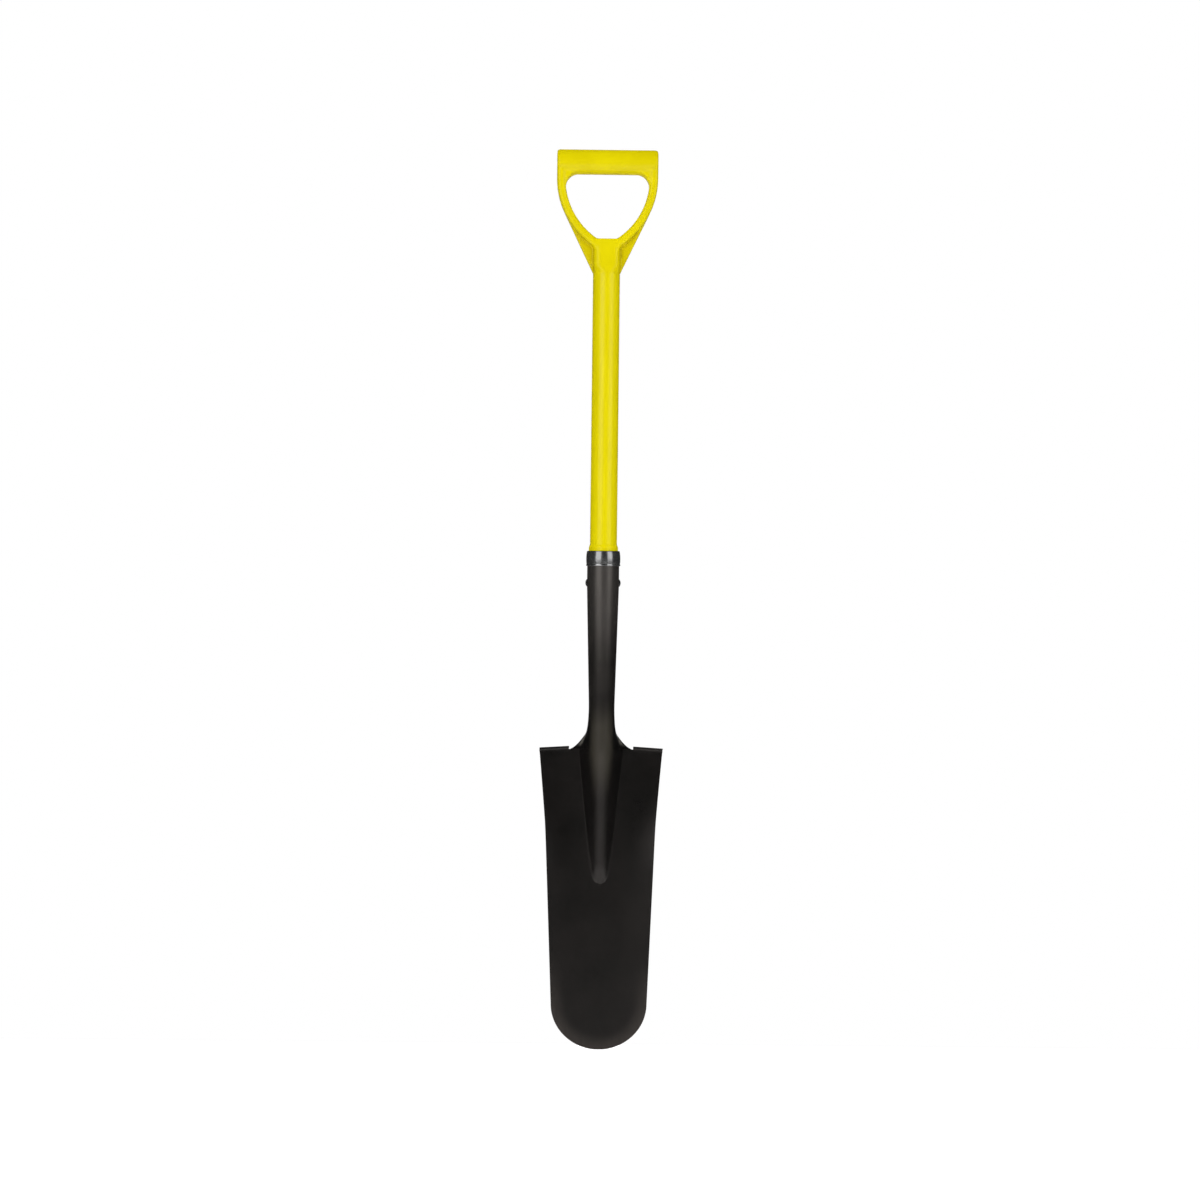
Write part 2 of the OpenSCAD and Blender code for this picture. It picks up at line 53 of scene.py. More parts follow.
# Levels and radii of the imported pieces
_, blade_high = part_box("blade")
collar_low, collar_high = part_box("socket_collar")
rivet_low, rivet_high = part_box("socket_rivet")
sleeve_low, sleeve_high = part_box("socket_sleeve")
shaft_low, shaft_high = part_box("shaft_tube")
grip_low, grip_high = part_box("d_grip")
pin_low, pin_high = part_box("grip_pin")
mouth_z = blade_high.z
socket_r = blade_high.y
shaft_r = shaft_high.x
shaft_top = shaft_high.z
rivet_z = (rivet_low.z + rivet_high.z) / 2
pin_z = (pin_low.z + pin_high.z) / 2
pin_r = (pin_high.z - pin_low.z) / 2

# Blade
blade_l = 406.4 * MM
shoulder_half = blade_high.x
waist_half = 74.2 * MM
waist_drop = 104 * MM
waist_blend = 0.75 * MM
toe_half = 64.5 * MM
toe_h = 62 * MM
toe_flat_half = 2 * MM
sheet_t = 1.8 * MM
edge_round = 0.45 * MM
edge_segments = 2
edge_angle = radians(50)
sheet_sliver = 0.008 * MM
dish_turn = radians(16)
dish_run = 170 * MM
lean = radians(3)

# Ridge up the middle of the blade
frog_l = 181 * MM
frog_slope = radians(48)
frog_wall = 25 * MM
root_r = 1.5 * MM
nose_l = 20 * MM
nose_half = 14 * MM
nose_round = 26 * MM
nose_share = (0.55, 0.06, 0.39)
nose_slope = 0.85

# Steps
step_l = 40 * MM
step_d = 10 * MM
step_r = 3.4 * MM
step_droop = radians(3.5)
notch_w = 2.4 * MM

# Socket
neck_r = 17.4 * MM
mouth_l = 46.6 * MM
taper_l = 160 * MM
throat_l = 55 * MM
seam_gap = 1.5 * MM
throat_rate = 0.62
throat_trim = 0.3
roll_share = (0.40, 0.25, 0.25, 0.10)

# Shaft, sleeve and rivet
shaft_wall = 4 * MM
shaft_sides = 160
fit = 0.05 * MM
cut_sliver = 0.02 * MM
hole_band = 9 * MM
hole_sides = 40
sleeve_chamfer_h = 4 * MM
sleeve_corner = 0.5 * MM
sleeve_ease = 0.05 * MM
sleeve_edge = 0.25 * MM
sleeve_top = 0.15 * MM
sleeve_sides = 128
rivet_r = 3 * MM
rivet_rim = 1 * MM
rivet_sides = 48
dome_steps = 8

# Collar: a round shoulder, a bulged band, a groove and a bead with a sloped top
collar_shoulder = 1.4 * MM
collar_flare = 0.8 * MM
collar_draw = 0.17 * MM
collar_widest = 9.5 * MM
collar_groove = 0.75 * MM
collar_band_foot = 3.5 * MM
collar_bead_h = 2.1 * MM
collar_bead_bulge = 0.12 * MM
collar_bead_round = 0.3 * MM
collar_spare = 0.01 * MM
collar_sides = 144
shoulder_steps = 8
band_steps = 16
bead_steps = 6

# Grip
grip_half = grip_high.x
bar_r = 17 * MM
bar_round = 3 * MM
bar_sides = 128
bar_z = grip_high.z - bar_r
bar_bottom = bar_z - bar_r
opening_h = 86.4 * MM
opening_z = bar_bottom - opening_h
arm_r = 98 * MM
arm_drop = 4.8 * MM
arm_w = 11.3 * MM
arm_d = 28 * MM
arm_round = 4 * MM
arm_steps = 48
arm_x = grip_half - arm_w - arm_r
arm_z = bar_bottom - arm_drop
arm_outer = arm_r + arm_w
corner_r = 18 * MM
corner_sides = 96
corner_steps = 12
crotch_r = 16 * MM
crotch_w = 9 * MM
web_t = 9 * MM
web_spare = 0.2 * MM
web_overrun = 0.2
web_steps = 24
neck_side = 17 * MM
neck_square = 5
neck_square_run = 16 * MM
neck_rings = 40
neck_sides = 128
neck_overlap = 8 * MM
spigot_chamfer = 1 * MM
spigot_sides = 96
spigot_segments = 2
round_segments = 6
blend_sink = 0.3 * MM
moulding_voxel = 0.8 * MM
moulding_passes = 30
moulding_factor = 0.5
# Painted shade in the corners beside the grip's webs: its reach, its fade at the edges, its least
# share and its top
painted_shade_reach = 13 * MM
painted_shade_edge = 3 * MM
painted_shade_least = 0.5
painted_shade_top = bar_z - 86 * MM

# Distances that count as none, and a bend in radians that counts as straight
same_place = 0.002 * MM
on_axis = 0.001 * MM
on_rim = 0.01 * MM
straight = 0.0002


def ease(value):
    """Smooth run from 0 to 1."""
    share = min(1, max(0, value))
    return share * share * (3 - 2 * share)


def mix(first, second, share):
    return first + (second - first) * share


def arc(centre, radius, start, end, steps):
    """Points of an arc in a plane, with angles in radians."""
    angles = [mix(start, end, k / steps) for k in range(steps + 1)]
    return [(centre[0] + radius * cos(a), centre[1] + radius * sin(a)) for a in angles]


# Modelling steps

def pick(piece):
    """Selects an object by itself and makes it the active one."""
    bpy.ops.object.select_all(action="DESELECT")
    piece.select_set(True)
    bpy.context.view_layer.objects.active = piece


def add(operator, name, **settings):
    """Adds a primitive by itself and leaves it in edit mode, all selected."""
    bpy.ops.object.select_all(action="DESELECT")
    operator(**settings)
    piece = bpy.context.object
    piece.name = name
    bpy.ops.object.transform_apply(location=True, rotation=True, scale=True)
    bpy.ops.object.mode_set(mode="EDIT")
    bpy.ops.mesh.select_all(action="SELECT")
    return piece


def choose(piece, kind, test):
    """Selects the vertices, edges or faces whose middle passes a test."""
    bpy.ops.mesh.select_all(action="DESELECT")
    bpy.ops.mesh.select_mode(type=kind)
    mesh = bmesh.from_edit_mesh(piece.data)
    for item in {"VERT": mesh.verts, "EDGE": mesh.edges, "FACE": mesh.faces}[kind]:
        corners = [item] if kind == "VERT" else item.verts
        if test(sum((v.co for v in corners), Vector()) / len(corners)):
            item.select_set(True)
    mesh.select_flush_mode()
    bmesh.update_edit_mesh(piece.data)


def place_corners(piece, points):
    """Moves the corners of a ring, in their order, to the points of an outline."""
    bpy.ops.object.mode_set(mode="OBJECT")
    for vertex, point in zip(piece.data.vertices, points):
        vertex.co = point
    bpy.ops.object.mode_set(mode="EDIT")
    bpy.ops.mesh.select_all(action="SELECT")


def close_mesh(reach=same_place):
    """Merges what lies together, drops slivers and loose edges and turns all faces outwards."""
    bpy.ops.mesh.select_all(action="SELECT")
    bpy.ops.mesh.remove_doubles(threshold=reach)
    bpy.ops.mesh.dissolve_degenerate(threshold=reach)
    bpy.ops.mesh.delete_loose()
    bpy.ops.mesh.select_all(action="SELECT")
    bpy.ops.mesh.normals_make_consistent(inside=False)
    bpy.ops.object.mode_set(mode="OBJECT")


def clean(piece, reach):
    """Closes a piece's mesh after a modifier and clears slivers within a reach."""
    pick(piece)
    bpy.ops.object.mode_set(mode="EDIT")
    close_mesh(reach)


def turned(name, outline, sides, centre=(0, 0, 0), along_x=False):
    """Turns an outline of (radius, distance along the axis) about Z or X through a centre."""
    piece = add(bpy.ops.mesh.primitive_circle_add, name, vertices=len(outline))
    middle = Vector(centre)
    way = Vector((1, 0, 0)) if along_x else Vector((0, 0, 1))
    out = Vector((0, 0, 1)) if along_x else Vector((1, 0, 0))
    place_corners(piece, [middle + way * along + out * radius for radius, along in outline])
    choose(piece, "EDGE", lambda point: (point - middle).cross(way).length < on_axis)
    bpy.ops.mesh.delete(type="EDGE")
    bpy.ops.mesh.select_all(action="SELECT")
    bpy.ops.mesh.spin(steps=sides, angle=2 * pi, center=centre, axis=way)
    close_mesh()
    return piece


def rod(name, sides, radius, length, middle, along_x=False):
    """Round rod along Z or X, left in edit mode."""
    return add(
        bpy.ops.mesh.primitive_cylinder_add,
        name,
        vertices=sides,
        radius=radius,
        depth=length,
        location=middle,
        rotation=(0, pi / 2 if along_x else 0, 0),
    )


def plate(name, outline, thickness):
    """Flat plate of this thickness about the plane of the front view, from (x, z) points."""
    ring = bpy.ops.mesh.primitive_circle_add
    piece = add(ring, name, vertices=len(outline), fill_type="NGON")
    place_corners(piece, [(x, -thickness / 2, z) for x, z in outline])
    bpy.ops.mesh.extrude_region_move(TRANSFORM_OT_translate={"value": (0, thickness, 0)})
    close_mesh()
    return piece


def rounded_section(name, x_from, x_to, depth, z):
    """Flat section with round corners, left in edit mode."""
    middle = ((x_from + x_to) / 2, 0, z)
    piece = add(bpy.ops.mesh.primitive_plane_add, name, size=1, location=middle)
    bpy.ops.transform.resize(value=(x_to - x_from, depth, 1), center_override=middle)
    bpy.ops.mesh.bevel(
        offset=arm_round, offset_type="ABSOLUTE", segments=round_segments, affect="VERTICES"
    )
    bpy.ops.mesh.select_all(action="SELECT")
    return piece


def upright(name, x_from, x_to, depth, z_from, z_to):
    """Upright bar with round corners."""
    piece = rounded_section(name, x_from, x_to, depth, z_from)
    bpy.ops.mesh.extrude_region_move(TRANSFORM_OT_translate={"value": (0, 0, z_to - z_from)})
    close_mesh()
    return piece


def cut_off(piece, point, normal):
    """Takes away what lies beyond a plane and closes the cut."""
    pick(piece)
    bpy.ops.object.mode_set(mode="EDIT")
    bpy.ops.mesh.select_all(action="SELECT")
    bpy.ops.mesh.bisect(plane_co=point, plane_no=normal, use_fill=True, clear_outer=True)
    close_mesh()


def apply_modifier(piece, kind, **settings):
    """Adds a modifier, sets it and applies it."""
    pick(piece)
    modifier = piece.modifiers.new(kind.lower(), kind)
    for setting, value in settings.items():
        setattr(modifier, setting, value)
    bpy.ops.object.modifier_apply(modifier=modifier.name)


def drill(piece, radius, z):
    """Drills a hole along X through the middle of a piece."""
    cutter = rod("drill", hole_sides, radius + fit, 3 * shaft_r, (0, 0, z), along_x=True)
    bpy.ops.object.mode_set(mode="OBJECT")
    apply_modifier(piece, "BOOLEAN", object=cutter, operation="DIFFERENCE", solver="EXACT")
    bpy.data.objects.remove(cutter)
    clean(piece, cut_sliver)


def joined(name, pieces):
    """Makes one object of several."""
    bpy.ops.object.select_all(action="DESELECT")
    for piece in pieces:
        piece.select_set(True)
    bpy.context.view_layer.objects.active = pieces[0]
    bpy.ops.object.join()
    pieces[0].name = name
    return pieces[0]


def finish_piece(piece, node, smooth_angle):
    """Smooths a piece's shading and puts it in a node's place on the one rigid body."""
    pick(piece)
    bpy.ops.object.shade_smooth_by_angle(angle=smooth_angle)
    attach(piece, "root")
    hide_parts(node)
    return piece


# Blade: a flat blank is cut to the sheet's cells and then pressed into shape. Each
# cross-section is a strip that runs outwards from the crest through its bends: crest, wall,
# root, flare, notch and step.

bend_cells = (14, 5, 9, 6, 2, 14)
columns = sum(bend_cells)
root_end = sum(bend_cells[:3])
flare_end = sum(bend_cells[:4])
step_start = sum(bend_cells[:5])
toe_rows = 36
plain_rows = 14
nose_rows = 16
frog_rows = 26
throat_rows = 44
socket_rows = 24
fold_row = toe_rows + plain_rows + nose_rows + frog_rows
throat_row = fold_row + throat_rows
rows = throat_row + socket_rows
fold_rows = 8
flange_rows = 4
step_rows = fold_rows + flange_rows

fold_z = blade_l - step_r - sheet_t / 2 + step_l * tan(step_droop)
waist_z = blade_l - waist_drop
nose_z = fold_z - frog_l
throat_z = fold_z + throat_l
parallel_z = mouth_z - mouth_l
neck_z = parallel_z - taper_l


def socket_outer(z):
    """Outer radius of the socket at a height."""
    return mix(neck_r, socket_r, min(1, max(0, (z - neck_z) / taper_l)))


def walk(place, length, turn, share):
    """Place and heading on a strip after a share of one bend."""
    x, y, heading = place
    after = heading + share * turn
    if abs(turn) < straight:
        return (x + share * length * cos(heading), y + share * length * sin(heading), after)
    radius = length / turn
    return (
        x + radius * (sin(after) - sin(heading)),
        y - radius * (cos(after) - cos(heading)),
        after,
    )


def strip(start, bends):
    """A strip through all its bends, as (x, y, heading) at each column."""
    places = []
    place = start
    for (length, turn), cells in zip(bends, bend_cells):
        places += [walk(place, length, turn, k / cells) for k in range(cells)]
        place = walk(place, length, turn, 1)
    return places + [place]


def half_width(z):
    """Half the blade's width at a height."""
    if z < toe_h:
        spread = sqrt(1 - (toe_flat_half / toe_half) ** 2)
        return toe_half * sqrt(1 - (spread * (toe_h - z) / toe_h) ** 2)
    upper = mix(waist_half, shoulder_half, (z - waist_z) / waist_drop)
    lower = mix(toe_half, waist_half, (z - toe_h) / (waist_z - toe_h))
    return (upper + lower + hypot(upper - lower, waist_blend)) / 2


def frog_bends(z):
    """Bends of the ridge: none below its nose, and the full hollow at the shoulders."""
    share = min(1, max(0, (z - nose_z) / frog_l))
    nose = min(1, max(0, (z - nose_z) / nose_l))
    slope = frog_slope * mix(nose_slope, 1, share) * sqrt(nose)
    narrow = min(1, half_width(z) / (2 * nose_half))
    crest = mix(nose_share[0] * nose_half, (neck_r - sheet_t / 2) * frog_slope, share)
    wall = mix(nose_share[1] * nose_half, frog_wall, share)
    root = mix(nose_share[2] * nose_half, root_r * frog_slope, share)
    return [(narrow * crest, slope), (narrow * wall, 0), (narrow * root, -slope)]


def frog_foot(z):
    """Place where the ridge runs out into the wing, counted from the crest."""
    place = (0, 0, 0)
    for length, turn in frog_bends(z):
        place = walk(place, length, turn, 1)
    return place


shoulder_foot = frog_foot(fold_z)
wing_top_y = shoulder_foot[1] - neck_r + sheet_t / 2
step_x = shoulder_half - step_l
wing_reach = shoulder_half - shoulder_foot[0]
flare_share = (step_x - notch_w - shoulder_foot[0]) / wing_reach
notch_share = notch_w / wing_reach
wing_shares = (flare_share, notch_share, 1 - flare_share - notch_share)


def wing_bends(z):
    """Bends of the wing, which leaves the ridge's foot and turns gently forward."""
    turn = -dish_turn * ease((fold_z - z) / dish_run) * min(1, half_width(z) / toe_half)
    reach = half_width(z) - frog_foot(z)[0]
    length = reach if abs(turn) < straight else reach * turn / sin(turn)
    return [(share * length, share * turn) for share in wing_shares]


def wing_y(z):
    """Depth of the wings where they leave the ridge, which leans forward downwards."""
    return wing_top_y - (fold_z - z) * tan(lean)


def bent_strip(z):
    """A strip of the blade with the ridge and the wing as they are at a height."""
    start = (0, wing_y(z) - frog_foot(z)[1], 0)
    return strip(start, frog_bends(z) + wing_bends(z))


def blade_strip(z):
    """A strip of the blade. Near the nose its outer columns rise later, which rounds the nose."""
    places = bent_strip(z)
    near = 1 - ease((z - nose_z - nose_l) / nose_l) if z > nose_z else 0
    if near:
        foot_x = frog_foot(z)[0]
        for column in range(1, root_end + 1):
            out = min(1, places[column][0] / foot_x)
            lag = nose_round * near * (1 - sqrt(1 - out ** 2))
            x, y, heading = bent_strip(z - lag)[column]
            places[column] = (x, y + wing_y(z) - wing_y(z - lag), heading)
    return places


def throat_strip(z):
    """Above the steps the strip rolls up from the open hollow into the closed socket."""
    share = min(1, (z - fold_z) / throat_l) ** throat_rate
    radius = socket_outer(z) - sheet_t / 2
    closed = pi - seam_gap / 2 / radius
    trim = 1 - 4 * throat_trim * share * (1 - share)
    bends = []
    open_bends = frog_bends(fold_z) + wing_bends(fold_z)[:1]
    for k, (length, turn) in enumerate(open_bends):
        rolled = closed * roll_share[k]
        run = mix(length, radius * rolled, share) * (1 if k < 2 else trim)
        bends.append((run, mix(turn, rolled, share)))
    return strip((0, -radius, 0), bends)


def row_height(row):
    """Height of a row of cells, from the round end up to the socket's mouth."""
    if row < toe_rows:
        return toe_h * (1 - cos(pi / 2 * row / toe_rows))
    row -= toe_rows
    if row < plain_rows:
        return mix(toe_h, nose_z, 1 - (1 - row / plain_rows) ** 2)
    row -= plain_rows
    if row < nose_rows:
        return nose_z + nose_l * (1 - cos(pi / 2 * row / nose_rows))
    row -= nose_rows
    if row < frog_rows:
        return mix(nose_z + nose_l, fold_z, row / frog_rows)
    row -= frog_rows
    if row < throat_rows:
        return fold_z + throat_l * (row / throat_rows) ** (1 / throat_rate)
    return mix(throat_z, mouth_z, (row - throat_rows) / socket_rows)


def in_sheet(point):
    """Whether a cell of the flat blank belongs to the sheet."""
    outer = ceil(abs(point.x))
    return (
        point.y < fold_row
        or outer <= flare_end
        or (outer > step_start and point.y < fold_row + step_rows)
    )


def step_place(shoulder, row):
    """A point of a step, which folds forward and then runs out flat."""
    x, y, _ = shoulder
    turn = min(1, row / fold_rows) * pi / 2
    out = (step_d - step_r) * max(0, row - fold_rows) / flange_rows
    fall = (x - step_x) * tan(step_droop)
    return (x, y - step_r * (1 - cos(turn)) - out, fold_z - fall + step_r * sin(turn))


def pressed_sheet():
    """All places of the pressed sheet's right half, by row and column."""
    places = []
    shoulder = blade_strip(fold_z)
    for row in range(rows + 1):
        z = row_height(row)
        across = throat_strip(z) if row > fold_row else blade_strip(z)
        line = [(x, y, z) for x, y, _ in across]
        if row >= fold_row:
            line = line[: flare_end + 1]
            line += [None] * (step_start - len(line))
            line += [step_place(place, row - fold_row) for place in shoulder[step_start:]]
        if row == fold_row:
            line[flare_end + 1 : step_start] = [
                (x, y, z) for x, y, _ in shoulder[flare_end + 1 : step_start]
            ]
        places.append(line)
    return places


def press_blade():
    """The whole sheet: cut from a flat grid, pressed, given its thickness and its round edges."""
    grid = bpy.ops.mesh.primitive_grid_add
    piece = add(grid, "pressed_blade", x_subdivisions=2 * columns, y_subdivisions=rows, size=2)
    bpy.ops.transform.resize(value=(columns, rows / 2, 1), center_override=(0, 0, 0))
    bpy.ops.transform.translate(value=(0, rows / 2, 0))
    choose(piece, "FACE", lambda point: not in_sheet(point))
    bpy.ops.mesh.delete(type="FACE")
    bpy.ops.object.mode_set(mode="OBJECT")
    places = pressed_sheet()
    for vertex in piece.data.vertices:
        column = round(vertex.co.x)
        x, y, z = places[round(vertex.co.y)][abs(column)]
        vertex.co = (-x if column < 0 else x, y, z)
    mark_rim(piece)
    apply_modifier(piece, "SOLIDIFY", thickness=sheet_t, offset=0, use_even_offset=True)
    stand(piece)
    clean(piece, sheet_sliver)
    apply_modifier(
        piece,
        "BEVEL",
        width=edge_round,
        segments=edge_segments,
        limit_method="ANGLE",
        angle_limit=edge_angle,
    )
    clean(piece, sheet_sliver)
    stand(piece)
    return piece


def stand(piece):
    """Keeps a piece on or above the ground plane."""
    for vertex in piece.data.vertices:
        vertex.co.z = max(0, vertex.co.z)


def mark_rim(piece):
    """Stores each point's distance from the sheet's free edge."""
    mesh = bmesh.new()
    mesh.from_mesh(piece.data)
    edge = [v.co.copy() for v in mesh.verts if v.is_boundary]
    mesh.free()
    tree = KDTree(len(edge))
    for k, point in enumerate(edge):
        tree.insert(point, k)
    tree.balance()
    rim = piece.data.attributes.new("rim", "FLOAT", "POINT")
    rim.data.foreach_set("value", [tree.find(v.co)[2] for v in piece.data.vertices])


# Turned pieces

def turn_collar():
    """Ring over the socket's mouth: round shoulder, band, groove and a bead at its foot."""
    inner = socket_r + fit
    outer = collar_high.y - collar_spare
    low = collar_low.z
    top = collar_high.z
    lip_inner = sleeve_high.x + fit
    band_top = top - collar_shoulder
    band_low = low + collar_band_foot
    widest = low + collar_widest
    outline = [(inner, low), (inner, mouth_z + fit), (lip_inner, mouth_z + fit), (lip_inner, top)]
    shoulder = (outer - collar_flare - collar_shoulder, band_top)
    outline += arc(shoulder, collar_shoulder, pi / 2, 0, shoulder_steps)
    for k in range(1, band_steps + 1):
        z = mix(band_top, band_low, k / band_steps)
        if z > widest:
            drawn = collar_flare * ((z - widest) / (band_top - widest)) ** 2
        else:
            drawn = collar_draw * ((widest - z) / (widest - band_low)) ** 2
        outline.append((outer - drawn, z))
    outline.append((outer - collar_groove, band_low))
    bead_foot = low + collar_bead_round
    for k in range(bead_steps + 1):
        share = k / bead_steps
        bulge = collar_bead_bulge * (1 - share) ** 2
        outline.append((outer - bulge, mix(low + collar_bead_h, bead_foot, share)))
    foot = (outer - collar_bead_round, bead_foot)
    outline += arc(foot, collar_bead_round, 0, -pi / 2, bead_steps)[1:]
    return turned("bright_collar", outline, collar_sides)


def turn_rivet():
    """Solid rivet with two domed heads."""
    tip = rivet_high.x
    head_r = (rivet_high.z - rivet_low.z) / 2
    seat = sqrt(socket_r ** 2 - head_r ** 2)
    dome_h = tip - seat - rivet_rim
    dome_r = (head_r ** 2 + dome_h ** 2) / (2 * dome_h)
    spread = acos(1 - dome_h / dome_r)
    dome = []
    for k in range(dome_steps + 1):
        angle = spread * k / dome_steps
        dome.append((dome_r * sin(angle), tip - dome_r * (1 - cos(angle))))
    half = dome + [(head_r, seat), (rivet_r, seat)]
    outline = half + [(radius, -along) for radius, along in reversed(half)]
    return turned("cross_rivet", outline, rivet_sides, centre=(0, 0, rivet_z), along_x=True)


def turn_sleeve():
    """Thin sleeve with a chamfered lip and a cross hole for the rivet."""
    inner = shaft_r + fit
    outer = sleeve_high.x
    top = sleeve_high.z
    chamfer = top - sleeve_chamfer_h
    outline = [
        (inner, sleeve_low.z),
        (outer, sleeve_low.z),
        (outer, rivet_z + hole_band),
        (outer, chamfer - sleeve_corner),
        (outer - sleeve_ease, chamfer),
        (mix(outer, inner + sleeve_edge, 0.5), mix(chamfer, top, 0.5)),
        (inner + sleeve_edge, top - sleeve_edge / 2),
        (inner + sleeve_top, top),
        (inner, top),
        (inner, rivet_z + hole_band),
    ]
    piece = turned("socket_sleeve_lip", outline, sleeve_sides)
    drill(piece, rivet_r, rivet_z)
    return piece


def turn_shaft():
    """Straight tube, tapered at its foot, with cross holes for the rivet and the grip's pin."""
    bore = shaft_r - shaft_wall
    foot_r = socket_outer(shaft_low.z) - sheet_t - fit
    taper_top = parallel_z - taper_l * (sleeve_high.x - shaft_r) / (socket_r - neck_r)
    bands = [z + side * hole_band for z in (rivet_z, pin_z) for side in (-1, 1)]
    outline = [(bore, shaft_low.z), (foot_r, shaft_low.z), (shaft_r, taper_top)]
    outline += [(shaft_r, z) for z in bands]
    outline += [(shaft_r, shaft_top), (bore, shaft_top)]
    outline += [(bore, z) for z in reversed(bands)]
    tube = turned("straight_shaft", outline, shaft_sides)
    drill(tube, rivet_r, rivet_z)
    drill(tube, pin_r, pin_z)
    return tube


# Moulded grip: solid forms that are run together and softened where they meet

def hand_bar():
    """Round bar with rounded rims."""
    piece = rod("hand_bar", bar_sides, bar_r, 2 * grip_half, (0, 0, bar_z), along_x=True)
    choose(piece, "EDGE", lambda point: abs(point.x) > grip_half - on_rim)
    bpy.ops.mesh.bevel(offset=bar_round, segments=round_segments)
    close_mesh()
    return piece


def arm_curve(name, x_from, x_to, depth, centre, angle):
    """Round-cornered bar that curves about a point of the front view."""
    piece = rounded_section(name, x_from, x_to, depth, centre[2])
    bpy.ops.mesh.spin(steps=arm_steps, angle=angle, center=centre, axis=(0, -1, 0))
    close_mesh()
    return piece


def grip_arm():
    """One arm: upright beside the hand bar, then curved down to the neck."""
    sweep = acos(-arm_x / arm_r)
    top = upright("arm_top", grip_half - arm_w, grip_half, arm_d, arm_z, bar_z)
    curve = arm_curve(
        "arm_curve", grip_half - arm_w, grip_half, arm_d, (arm_x, 0, arm_z), sweep
    )
    return [top, curve]


def corner_fillet():
    """Hollow round between the hand bar and an arm: a trumpet round the bar, cut to depth."""
    centre_z = bar_bottom - corner_r + blend_sink
    centre_x = arm_x + blend_sink + sqrt((arm_r - corner_r) ** 2 - (centre_z - arm_z) ** 2)
    far_x = grip_half - arm_w / 2
    reach = bar_z - centre_z
    outline = [(0, centre_x)]
    outline += arc((reach, centre_x), corner_r, pi, pi / 2, corner_steps)
    outline += [(reach, far_x), (0, far_x)]
    centre = (0, 0, bar_z)
    piece = turned("corner_fillet", outline, corner_sides, centre, along_x=True)
    half = (arm_d - arm_round) / 2
    cut_off(piece, (0, half, 0), (0, 1, 0))
    cut_off(piece, (0, -half, 0), (0, -1, 0))
    cut_off(piece, (0, 0, bar_z), (0, 0, 1))
    return piece


def crotch():
    """Hollow round between an arm's outer curve and the side of the neck."""
    centre_x = neck_side + crotch_r - blend_sink
    centre_z = arm_z - sqrt((arm_outer + crotch_r - blend_sink) ** 2 - (centre_x - arm_x) ** 2)
    start = atan2(arm_z - centre_z, arm_x - centre_x)
    return arm_curve(
        "crotch",
        centre_x - crotch_r - crotch_w,
        centre_x - crotch_r,
        arm_d - 2 * blend_sink,
        (centre_x, 0, centre_z),
        pi - start,
    )


def web():
    """Thin web from the shaft's rim to the point where its edge touches the arm."""
    dx = shaft_r - arm_x
    dz = shaft_top - arm_z
    touch = atan2(dz, dx) + acos(arm_outer / hypot(dx, dz))
    inner = arm_outer - arm_w / 2
    low = atan2(dz, dx) - web_overrun
    curve = arc((arm_x, arm_z), inner, touch, low, web_steps)
    edge = arm_outer + web_spare
    outline = [(0, shaft_top)]
    outline += [(shaft_r + web_spare * cos(touch), shaft_top + web_spare * sin(touch))]
    outline += [(arm_x + edge * cos(touch), arm_z + edge * sin(touch))]
    outline += [point for point in curve if point[0] > 0]
    outline += [(0, opening_z - arm_w)]
    return plate("web", outline, web_t)


def neck():
    """Neck that changes from the shaft's round into a flat-fronted top below the opening."""
    low = shaft_top - neck_overlap
    heights = [mix(low, opening_z, k / neck_rings) for k in range(neck_rings + 1)]
    outline = [(0, low)] + [(shaft_r, z) for z in heights] + [(0, opening_z)]
    piece = turned("neck", outline, neck_sides)
    for vertex in piece.data.vertices:
        x, y, z = vertex.co
        radius = hypot(x, y)
        if radius > neck_side / 2:
            share = ease((z - shaft_top) / (opening_z - shaft_top))
            square = mix(2, neck_square, ease((z - shaft_top) / neck_square_run))
            across = (abs(x) / radius / mix(shaft_r, neck_side, share)) ** square
            deep = (abs(y) / radius / mix(shaft_r, arm_d / 2, share)) ** square
            grown = (across + deep) ** (-1 / square)
            vertex.co.x = x / radius * grown
            vertex.co.y = y / radius * grown
    return piece


def spigot():
    """Foot of the grip inside the shaft, with a cross hole for the pin."""
    height = shaft_top + arm_round - grip_low.z
    middle = (0, 0, grip_low.z + height / 2)
    piece = rod("spigot", spigot_sides, shaft_r - shaft_wall - fit, height, middle)
    choose(piece, "EDGE", lambda point: point.z < grip_low.z + on_rim)
    bpy.ops.mesh.bevel(offset=spigot_chamfer, segments=spigot_segments)
    close_mesh()
    drill(piece, pin_r, pin_z)
    return piece


def mould_grip():
    """All the grip's forms, melted together, cut level with the shaft and set on the spigot."""
    one_side = joined("grip_side", grip_arm() + [corner_fillet(), crotch(), web()])
    apply_modifier(one_side, "MIRROR", use_axis=(True, False, False), use_mirror_merge=False)
    grip = joined("moulded_grip", [hand_bar(), one_side, neck()])
    apply_modifier(grip, "REMESH", mode="VOXEL", voxel_size=moulding_voxel)
    apply_modifier(grip, "SMOOTH", factor=moulding_factor, iterations=moulding_passes)
    cut_off(grip, (0, 0, shaft_top), (0, 0, -1))
    foot = spigot()
    apply_modifier(grip, "BOOLEAN", object=foot, operation="UNION", solver="EXACT")
    bpy.data.objects.remove(foot)
    clean(grip, cut_sliver)
    mark_painted_shade(grip)
    return grip


